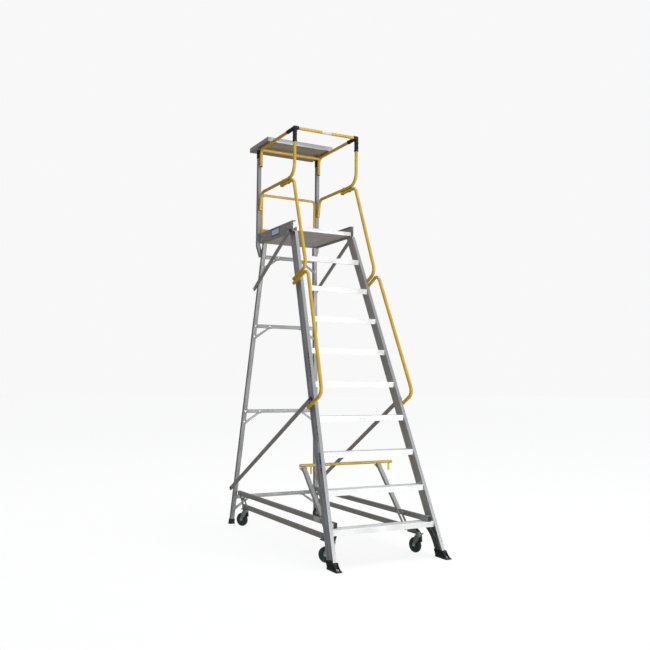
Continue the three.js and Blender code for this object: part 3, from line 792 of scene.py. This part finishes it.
def guard(side, sign):
    tube(f"loop_tube_{side}", [
        (GUARD_X, GUARD_BACK + 5, LOOP_Z - 172, 0), (GUARD_X, GUARD_BACK - 28, LOOP_Z, 62),
        (GUARD_X, GUARD_FRONT, LOOP_Z, 115), (GUARD_X, GUARD_FRONT, TOP_RAIL_Z - 130.4, 0),
    ], f"guard_loop_{side}", sign=sign, plugs=(True, False))
    tube(f"upper_rail_tube_{side}", [
        (GUARD_X, 1425, LOOP_Z - 32, 0), (GUARD_X, 1162, LOOP_Z - 32, 52),
        (347, 843, 2390, 72), (367, 1050, 2302, 0),
    ], f"upper_handrail_{side}", sign=sign, plugs=(True, True))
    tube(f"lower_rail_tube_{side}", [
        (372, 1035, 2262, 0), (353, 802, 2363, 62), (433, 370, 1304, 72), (443.5, 590, 1186, 0),
    ], f"lower_handrail_{side}", sign=sign, plugs=(True, True))
    # Saddle bolts between the guard loop and the upper handrail, and through the stile.
    bm = bmesh.new()
    for y in (1262, 1392):
        prism(bm, level(rectangle(20, 22, 4), LOOP_Z - 18.5, GUARD_X, y), (0, 0, 5))
        bolt(bm, (GUARD_X, y, LOOP_Z - 47), (0, 0, -1), 6, 4)
        bolt(bm, (GUARD_X, y, LOOP_Z + 14.6), (0, 0, 1), 6, 4)
    for z in (LOOP_Z - 110, LOOP_Z - 146):
        bolt(bm, (GUARD_X, GUARD_BACK - 14, z), (0, -1, 0), 4, 3, False)
    piece(f"saddle_bolts_{side}", bm, "dark", sign=sign)
    bm = bmesh.new()
    for x, y, z in ((352, 1002, 2322), (372, 1002, 2276.4), (440.6, 530, 1218)):
        bolt(bm, (x + 13.5, y, z), (1, 0, 0), 6, 4)
    piece(f"handrail_bolts_{side}", bm, "bright", sign=sign)


def top_frame():
    for side, sign in SIDES:
        tube(f"top_side_rail_{side}", [
            (GUARD_X, GUARD_FRONT + 150.4, TOP_RAIL_Z, 0), (GUARD_X, GUARD_BACK, TOP_RAIL_Z, 62),
            (GUARD_X, GUARD_BACK, TOP_RAIL_Z - 177, 0),
        ], "top_rail_frame", sign=sign, plugs=(False, True))
    y, z = GUARD_BACK - 22, TOP_RAIL_Z - 14.6
    bm = bmesh.new()
    sweep(bm, [(-GUARD_X + 8, y, z), (GUARD_X - 8, y, z)], circle(TUBE, 28))
    piece("tray_rail_tube", bm, "yellow", smooth=50)
    tube("front_rail_tube", [(-288.6, GUARD_FRONT, TOP_RAIL_Z, 0), (288.6, GUARD_FRONT, TOP_RAIL_Z, 0)],
         "front_top_rail")
    x, foot = 294.5, DECK_TOP - 30
    tube("mid_rail_tube", [
        (-x, 1950, foot, 0), (-x, 1950, 3250, 35), (x, 1950, 3250, 35), (x, 1950, foot, 0),
    ], "mid_rail", radius=12.5)
    bm = bmesh.new()
    for side in (-x, x):
        bolt(bm, (side, 1937.8, DECK_TOP + 18), (0, -1, 0), 5, 3)
    piece("mid_rail_bolts", bm, "dark")


def corner(side, sign):
    """A three-way moulded socket with collars at its mouths and two clamp screws on each of its two long
    arms.
    """
    bm = bmesh.new()
    at = Vector((GUARD_X, GUARD_FRONT, TOP_RAIL_Z))
    lathe(bm, at, (0, 0, 1), [(0, -20)] + [(20 * math.cos(a), 20 * math.sin(a)) for a in
          (math.radians(d) for d in range(-75, 90, 15))] + [(0, 20)], 28)
    for direction, length, radius in (((0, 0, -1), 130, 20), ((0, 1, 0), 150, 19), ((-1, 0, 0), 34, 19)):
        profile = [(0, 0), (radius, 0), (radius - 0.8, length - 14), (radius + 0.9, length - 12),
                   (radius + 0.9, length - 3), (radius - 0.6, length),
                   (TUBE + 0.3, length), (TUBE + 0.3, length - 6),
                   (0, length - 6)]
        if length < 40:
            profile = [(0, 0), (radius, 0), (radius + 0.6, length - 8), (radius + 0.6, length - 2),
                       (radius - 0.8, length), (0, length)]
        lathe(bm, at, direction, profile, 28)
    clamps = [at + Vector(shift) for shift in ((0, 0, -46), (0, 0, -92), (0, 52, 0), (0, 110, 0))]
    for spot in clamps:
        prism(bm, [spot + Vector((17, a, b)) for a, b in circle(7.5, 18)], (4.5, 0, 0))
    piece(f"corner_socket_{side}", bm, "plastic", replaces=[f"corner_connector_{side}"], bevel=0.5, sign=sign)
    bm = bmesh.new()
    for spot in clamps:
        bolt(bm, spot + Vector((21.5, 0, 0)), (1, 0, 0), 4.5, 2.5, False)
    piece(f"corner_screws_{side}", bm, "bright", sign=sign)


def tray():
    front, back, bottom, top, half, sheet = 1682, 2136, 3719, 3764, 355, 2.5
    bm = bmesh.new()
    shape = fillet([
        (front, bottom, 3), (back, bottom, 3), (back, top, 2), (back - 12, top, 1), (back - 12, top - 7),
        (back - 12 + sheet, top - 7), (back - 12 + sheet, top - sheet), (back - sheet, top - sheet),
        (back - sheet, bottom + sheet, 2), (front + sheet, bottom + sheet, 2), (front + sheet, top - sheet),
        (front + 12 - sheet, top - sheet), (front + 12 - sheet, top - 7), (front + 12, top - 7),
        (front + 12, top, 1), (front, top, 2),
    ], 0)
    prism(bm, along_x(shape, -half), (2 * half, 0, 0))
    wall = fillet([(front, bottom), (back, bottom), (back, top), (front, top)], 2)
    for x in (-half, half - sheet):
        prism(bm, along_x(wall, x), (sheet, 0, 0))
    for i in range(5):
        y = front + 60 + i * 84
        low, high = bottom + sheet - 0.5, bottom + sheet + 1.6
        rib = fillet([(y - 7, low), (y + 7, low), (y + 4, high), (y - 4, high)], 0.6)
        prism(bm, along_x(rib, -half + 8), (2 * half - 16, 0, 0))
    piece("folded_tray", bm, "cross", replaces=["work_tray"], bevel=0.4)
    bm = bmesh.new()
    for x in (-295, 295):
        for y in (1715, 1893, 1930):
            rivet(bm, (x, y, bottom + sheet), (0, 0, 1), 6)
    piece("tray_rivets", bm, "bright")


both(guard)
top_frame()
both(corner)
tray()

# ---------- castor base ----------

RAIL_WIDTH, RAIL_HEIGHT = 25, 42


def rail_section(z, y, inset, radius):
    section = rectangle(RAIL_WIDTH - inset, RAIL_HEIGHT - inset, radius)
    return [(RAIL_X + a, y, z + b) for a, b in section]


def rail_tube(bm, z, front, back):
    prism(bm, rail_section(z, front, 0, 3.5), (0, back - front, 0), rail_section(z, front, 5, 1.5))


def rail_plug(bm, z, y, out):
    prism(bm, rail_section(z, y, 0, 3.5), (0, out * 4, 0))
    prism(bm, rail_section(z, y, 6, 2), (0, -out * 14, 0))


def base(side, sign):
    front = 100 if sign > 0 else 175
    boss = [(0, 0), (11, 0), (12.5, 2), (12.5, 10.6), (0, 10.6)]
    bm = bmesh.new()
    rail_tube(bm, RAIL_Z, front, 2150)
    start, wide = max(front + 5, 160), stile_inner(RAIL_Z) - 1.5
    spacer = [(421, 286), (wide, 286), (wide, 318), (421, 318)]
    prism(bm, along_y(spacer, start), (0, 205 - start, 0))
    lathe(bm, (386.6, PIVOT.y, RAIL_Z), (1, 0, 0), boss, 28)
    piece(f"fixed_rail_{side}", bm, "run", replaces=[f"base_rail_{side}"], sign=sign)
    bm = bmesh.new()
    rail_plug(bm, RAIL_Z, front, -1)
    rail_plug(bm, RAIL_Z, 2150, 1)
    piece(f"fixed_rail_plugs_{side}", bm, "plastic", bevel=1.0, sign=sign)
    bm = bmesh.new()
    for y in (170, 195) if sign > 0 else (194,):
        bolt(bm, (RAIL_X - 12.5, y, RAIL_Z), (-1, 0, 0), 7, 4.5)
    for dy in (-32, 32):
        bolt(bm, (RAIL_X + 15.7, PIVOT.y + dy, RAIL_Z), (1, 0, 0), 5.5, 3.5)
    bolt(bm, (RAIL_X - 12.5, leg_y(RAIL_Z), RAIL_Z), (-1, 0, 0), 7, 4.5)
    piece(f"fixed_rail_bolts_{side}", bm, "bright", sign=sign)

    # A stiffening plate over the rail's outer face at the lever's pivot.
    bm = bmesh.new()
    plate = fillet([(PIVOT.y - 48, 282), (PIVOT.y + 48, 282), (PIVOT.y + 48, 322), (PIVOT.y - 48, 322)], 6)
    prism(bm, along_x(plate, RAIL_X + 12.6), (3, 0, 0))
    piece(f"pivot_plate_{side}", bm, "tread", bevel=0.6, sign=sign)

    body = f"castor_rail_{side}"
    bm = bmesh.new()
    rail_tube(bm, SWING_Z, 330, 2034)
    lathe(bm, (386.6, PIVOT.y - LINK * math.sin(LEAN), SWING_Z), (1, 0, 0), boss, 28)
    piece(f"swing_rail_{side}", bm, "run", body, [f"castor_rail_{side}"], sign=sign)
    bm = bmesh.new()
    for y0, y1, flange_back in ((212, 390, 388), (1908, 2042, 1960)):
        plate = fillet([(RAIL_X - 27, y0), (RAIL_X + 27, y0), (RAIL_X + 27, y1), (RAIL_X - 27, y1)], 8)
        prism(bm, [(x, y, 160) for x, y in plate], (0, 0, 6))
        # Folded flanges that cradle the rail.
        for x in (RAIL_X - 16.2, RAIL_X + 13):
            flange = fillet([(y0 + 12, 164), (flange_back, 164), (flange_back, 196),
                             (y0 + (70 if y0 < 1000 else 12), 196)], 6)
            prism(bm, [(x, y, z) for y, z in flange], (3.2, 0, 0))
    piece(f"castor_plates_{side}", bm, "zinc", body, bevel=0.7, sign=sign)
    bm = bmesh.new()
    rail_plug(bm, SWING_Z, 330, -1)
    rail_plug(bm, SWING_Z, 2034, 1)
    piece(f"swing_rail_plugs_{side}", bm, "plastic", body, bevel=1.0, sign=sign)
    bm = bmesh.new()
    bolt(bm, (RAIL_X, STEMS["front"], 165.8), (0, 0, 1), 9, 7)
    for y in (300, 376, 1940):
        bolt(bm, (RAIL_X + 16.2, y, 186), (1, 0, 0), 5.5, 3.5)
    bolt(bm, (RAIL_X - 16.2, 1940, 186), (-1, 0, 0), 5.5, 3.5)
    piece(f"castor_plate_bolts_{side}", bm, "bright", body, sign=sign)


def channel(bm, x, pivot, below, above, web, flare=None):
    """Two straps joined by a web on the front, leaning back like the lever. The flare widens its top."""
    half, t, r = 18, 3, 12
    shift = Vector((x, pivot.y, pivot.z))
    put = lambda points: [shift + LEAN_TURN @ Vector(p) for p in points]
    half_turn = [math.pi * i / 12 for i in range(13)]
    strap = [(-r * math.cos(a), -below - r * math.sin(a)) for a in half_turn]
    strap += [(r * math.cos(a), above - r + r * math.sin(a)) for a in half_turn]
    for side in (-half, half - t):
        prism(bm, put([(side, y, z) for y, z in strap]), LEAN_TURN @ Vector((t, 0, 0)))
    low, high = web
    web_face = [(-half, -r, low), (half, -r, low), (half, -r, high), (-half, -r, high)]
    prism(bm, put(web_face), LEAN_TURN @ Vector((0, t, 0)))
    if flare:
        for sign in (-1, 1):
            edge, tip = sign * half, sign * (half + 22)
            gusset = [(edge, 6, flare[0]), (tip, 6, flare[1]), (edge, 6, flare[1])]
            prism(bm, put(gusset), LEAN_TURN @ Vector((0, 3, 0)))


def lever_arm(side, sign):
    top = ARM_REACH - 14
    bm = bmesh.new()
    channel(bm, ARM_X, PIVOT, LINK, top, (30, top - 8), (top - 52, top - 2))
    piece(f"lever_channel_{side}", bm, "rise", "lever", [f"lever_arm_{side}"], bevel=0.8, sign=sign)
    bm = bmesh.new()
    for drop in (0, -LINK):
        at = Vector((ARM_X - 18, PIVOT.y, PIVOT.z)) + LEAN_TURN @ Vector((0, 0, drop))
        bolt(bm, at, (-1, 0, 0), 8.5, 6)
    piece(f"lever_pins_{side}", bm, "bright", "lever", sign=sign)


def foot_bar():
    at = PIVOT + Vector((0, ARM_REACH * math.sin(LEAN), ARM_REACH * math.cos(LEAN)))
    bm = bmesh.new()
    sweep(bm, [(BAR_LEFT, at.y, at.z), (BAR_RIGHT, at.y, at.z)], circle(13, 32), None, circle(10.5, 32))
    for x in BAR_TABS:
        tab = [(x - 8.5, at.z - 2), (x + 8.5, at.z - 2), (x + 8.5, at.z - 67.5)]
        tab += [(x + 8.5 * math.cos(a), at.z - 67.5 - 8.5 * math.sin(a)) for a in
                (math.pi * i / 10 for i in range(1, 10))]
        tab += [(x - 8.5, at.z - 67.5)]
        prism(bm, along_y(tab, at.y - 3), (0, 6, 0))
    piece("foot_bar", bm, "yellow", "lever", ["lever_bar"], bevel=0.8, smooth=50)
    bm = bmesh.new()
    plug = [(0, -12), (10.2, -12), (10.2, 0.1), (13, 0.1), (12.6, 1.8), (0, 2.6)]
    for x, out in ((BAR_LEFT, -1), (BAR_RIGHT, 1)):
        lathe(bm, (x, at.y, at.z), (out, 0, 0), plug, 28)
    piece("foot_bar_plugs", bm, "yellow", "lever")


def rear_link(side, sign):
    bm = bmesh.new()
    channel(bm, RAIL_X, REAR_PIVOT, LINK, 12, (-LINK / 2 - 13, -LINK / 2 + 13))
    name = f"rear_link_{side}"
    piece(f"link_channel_{side}", bm, "zinc", name, [name], bevel=0.7, sign=sign)
    bm = bmesh.new()
    for drop in (0, -LINK):
        at = Vector((RAIL_X, REAR_PIVOT.y, REAR_PIVOT.z)) + LEAN_TURN @ Vector((0, 0, drop))
        for out in (-1, 1):
            bolt(bm, at + Vector((18 * out, 0, 0)), (out, 0, 0), 8, 5.5)
    piece(f"link_pins_{side}", bm, "bright", f"rear_link_{side}", sign=sign)


def castor(end, side, yaw):
    """A pressed swivel fork with a ball race, and a crowned tyre on a ribbed disc."""
    name = f"{end}_{side}"
    x = RAIL_X if side == "right" else -RAIL_X
    place = Matrix.Translation((x, STEMS[end], 0)) @ Matrix.Rotation(math.radians(yaw), 4, "Z")

    def made(label, bm, look, body, replaces=(), **options):
        bmesh.ops.transform(bm, matrix=place, verts=bm.verts)
        return piece(f"{label}_{name}", bm, look, body, replaces, **options)

    fork, wheel = f"castor_fork_{name}", f"castor_wheel_{name}"
    bm = bmesh.new()
    race = [(0, 139), (24, 139), (28, 141), (29, 145), (27, 148), (23, 149.5), (27, 151), (28, 154),
            (26, 158), (12, 158.4), (0, 158.4)]
    lathe(bm, (0, 0, 0), (0, 0, 1), race, 36)
    cheek = fillet([(-22, 144), (-22, 136), (-12, 112), (TRAIL - 16, AXLE_Z + 8), (TRAIL - 11, AXLE_Z - 12),
                    (TRAIL + 11, AXLE_Z - 12), (TRAIL + 15, AXLE_Z + 6), (36, 118), (32, 136),
                    (32, 144)], 7, 5)
    for x0, x1 in ((17, 20.4), (-20.4, -17)):
        prism(bm, along_x(cheek, x0), (x1 - x0, 0, 0))
    crown = fillet([(-20.4, 132), (-20.4, 145, 6), (20.4, 145, 6), (20.4, 132), (17, 132), (17, 141.5, 4),
                    (-17, 141.5, 4), (-17, 132)], 0)
    prism(bm, along_y(crown, -22), (0, 54, 0))
    made("fork", bm, "zinc", fork, [fork], bevel=0.8)
    bm = bmesh.new()
    for out in (-1, 1):
        bolt(bm, (out * 20.4, TRAIL, AXLE_Z), (out, 0, 0), 8, 5.5)
    made("axle_nuts", bm, "bright", fork)
    bm = bmesh.new()
    pedal = fillet([(-26, 138), (-18, 141), (-10, 128), (-22, 96), (-30, 98)], 4)
    prism(bm, along_x(pedal, -12), (24, 0, 0))
    made("brake_pad", bm, "plastic", fork, bevel=1.2)
    bm = bmesh.new()
    tyre = [(49, -12), (56, -13.4), (59.5, -11.5), (61.6, -7.5), (62.4, -2.5)]
    tyre += [(radius, -width) for radius, width in reversed(tyre)]
    lathe(bm, (0, TRAIL, AXLE_Z), (1, 0, 0), tyre, 56, True)
    made("tyre", bm, "tyre", wheel, [wheel], smooth=40)
    bm = bmesh.new()
    disc = [(6.4, -13.6), (15, -13.6), (17.5, -11), (19, -5), (43, -4.2), (46, -10.5), (49.4, -11.4)]
    disc += [(radius, -width) for radius, width in reversed(disc)]
    lathe(bm, (0, TRAIL, AXLE_Z), (1, 0, 0), disc, 48, True)
    for i in range(6):
        a = math.pi * i / 3
        c, n = math.cos(a), math.sin(a)
        loop = [(h, TRAIL + c * r + n * 1.6, AXLE_Z + n * r - c * 1.6) for h, r in
                ((-9, 16), (-9, 45), (9, 45), (9, 16))]
        prism(bm, loop, (0, -n * 3.2, c * 3.2))
    made("wheel_disc", bm, "disc", wheel, bevel=0.4)


both(base)
both(lever_arm)
foot_bar()
both(rear_link)
for end, yaws in (("front", (12, 38)), ("rear", (20, 30))):
    for (side, _), yaw in zip(SIDES, yaws):
        castor(end, side, yaw)

# ---------- stickers without lettering ----------


def stile_patch(name, look, low, high, inset):
    """A thin patch on the web of the left stile, between two heights."""
    bm = bmesh.new()
    t = 0.5
    loop = []
    for dy, z in ((inset[0], low), (inset[1], low), (inset[1], high), (inset[0], high)):
        loop.append((-(stile_inner(z) + 4.0), STILE_LEAN * z + dy, z))
    prism(bm, loop, (-t, 0, 0))
    piece(name, bm, look, slot="aluminium")


for i in range(7):
    low = 1440 + i * 30
    stile_patch(f"stile_label_bar_{i + 1}", "black", low, low + 21, (34, 72))
stile_patch("stile_label_dot_1", "black", 1022, 1046, (40, 66))
stile_patch("stile_label_dot_2", "red", 968, 988, (40, 66))
for look, low, high in (("white", 838, 915), ("green", 790, 832), ("blue", 745, 788), ("red", 678, 722),
                        ("lime", 632, 676)):
    stile_patch(f"stile_label_panel_{look}", look, low, high, (26, 82))
for label, look, y0, y1, z0, z1, out in (("border", "blue", 1476, 1656, 2778, 2850, 0.8),
                                         ("centre", "white", 1488, 1644, 2790, 2838, 1.2)):
    bm = bmesh.new()
    x = -316 - out
    prism(bm, [(x, y0, z0), (x, y1, z0), (x, y1, z1), (x, y0, z1)], (-0.5, 0, 0))
    piece(f"side_plate_label_{label}", bm, look, slot="aluminium")
bm = bmesh.new()
sweep(bm, [(-46, GUARD_FRONT, TOP_RAIL_Z), (46, GUARD_FRONT, TOP_RAIL_Z)], circle(TUBE + 0.35, 32))
piece("front_rail_label", bm, "white", slot="yellow_paint")

# ---------- floor, light and camera ----------

floor_mesh = bpy.data.meshes.new("studio_floor")
bm = bmesh.new()
bmesh.ops.create_grid(bm, x_segments=8, y_segments=8, size=60)
bm.to_mesh(floor_mesh)
bm.free()
floor = bpy.data.objects.new("studio_floor", floor_mesh)
floor.location.z = -0.0005
bpy.context.scene.collection.objects.link(floor)
floor_material, floor_tree, floor_shader = surface("pale_floor", 0.7, 0.0, 0.0, 0.2)
floor_tone = ramp(floor_tree, noise(floor_tree, 3, 3), [(0.3, grey(0.15)), (0.7, grey(0.16))])
floor_tree.links.new(floor_tone, floor_shader.inputs["Base Color"])
floor_shader.inputs["Emission Color"].default_value = (1, 1, 1, 1)
floor_shader.inputs["Emission Strength"].default_value = 0.86
floor_mesh.materials.append(floor_material)
floor.visible_diffuse = False
floor.visible_glossy = False
floor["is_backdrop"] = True

world = bpy.data.worlds.new("studio")
bpy.context.scene.world = world
world.use_nodes = True
tree = world.node_tree
tree.nodes.clear()
direction = tree.nodes.new("ShaderNodeTexCoord")
parts = tree.nodes.new("ShaderNodeSeparateXYZ")
tree.links.new(direction.outputs["Generated"], parts.inputs["Vector"])


def span(axis, start, end):
    """0 to 1 as one component of the direction goes from start to end."""
    made = node(tree, "ShaderNodeMapRange", **{"From Min": start, "From Max": end})
    tree.links.new(parts.outputs[axis], made.inputs["Value"])
    return made.outputs["Result"]


brown = (0.22, 0.195, 0.17)
sides = mix(tree, span("X", -0.7, 0.35), (0.38, 0.43, 0.49), (0.60, 0.61, 0.62))
sides = mix(tree, span("Y", 0.2, 0.8), sides, brown)
sides = mix(tree, span("Z", 0.1, -0.25), sides, brown)
ahead = mix(tree, span("Z", 0.02, 0.24), grey(0.92), (0.36, 0.40, 0.44))
light = mix(tree, span("Y", -0.25, -0.75), sides, ahead)
path = tree.nodes.new("ShaderNodeLightPath")
seen = mix(tree, path.outputs["Is Camera Ray"], light, grey(0.94))
background = tree.nodes.new("ShaderNodeBackground")
tree.links.new(seen, background.inputs["Color"])
output = tree.nodes.new("ShaderNodeOutputWorld")
tree.links.new(background.outputs["Background"], output.inputs["Surface"])


def lamp(name, at, target, size, power, color=(1, 1, 1)):
    data = bpy.data.lights.new(name, "AREA")
    data.shape = "RECTANGLE"
    data.size, data.size_y = size
    data.energy = power
    data.color = color
    obj = bpy.data.objects.new(name, data)
    obj.location = at
    obj.rotation_euler = (Vector(target) - Vector(at)).to_track_quat("-Z", "Y").to_euler()
    bpy.context.scene.collection.objects.link(obj)


lamp("front_softbox", (3.4, -9.0, 1.8), (0, 0, 1.2), (5, 3), 360)
lamp("top_softbox", (0.6, -0.5, 10.5), (0, 0, 1.5), (6, 6), 420)

camera_data = bpy.data.cameras.new("camera")
camera_data.sensor_width = 36
camera_data.lens = 43.44
camera_data.clip_end = 300
camera = bpy.data.objects.new("camera", camera_data)
yaw, pitch, roll = (math.radians(a) for a in (27.955, 4.171, 0.427))
forward = Vector((math.sin(yaw) * math.cos(pitch), math.cos(yaw) * math.cos(pitch), math.sin(pitch)))
right = Vector((math.cos(yaw), -math.sin(yaw), 0))
up = right.cross(forward)
right, up = right * math.cos(roll) + up * math.sin(roll), up * math.cos(roll) - right * math.sin(roll)
turned = Matrix((right, up, -forward)).transposed().to_4x4()
camera.matrix_world = Matrix.Translation((-3.3447, -6.2505, 1.3941)) @ turned
bpy.context.scene.collection.objects.link(camera)
bpy.context.scene.camera = camera
bpy.context.scene.view_settings.view_transform = "Standard"

low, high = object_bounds()
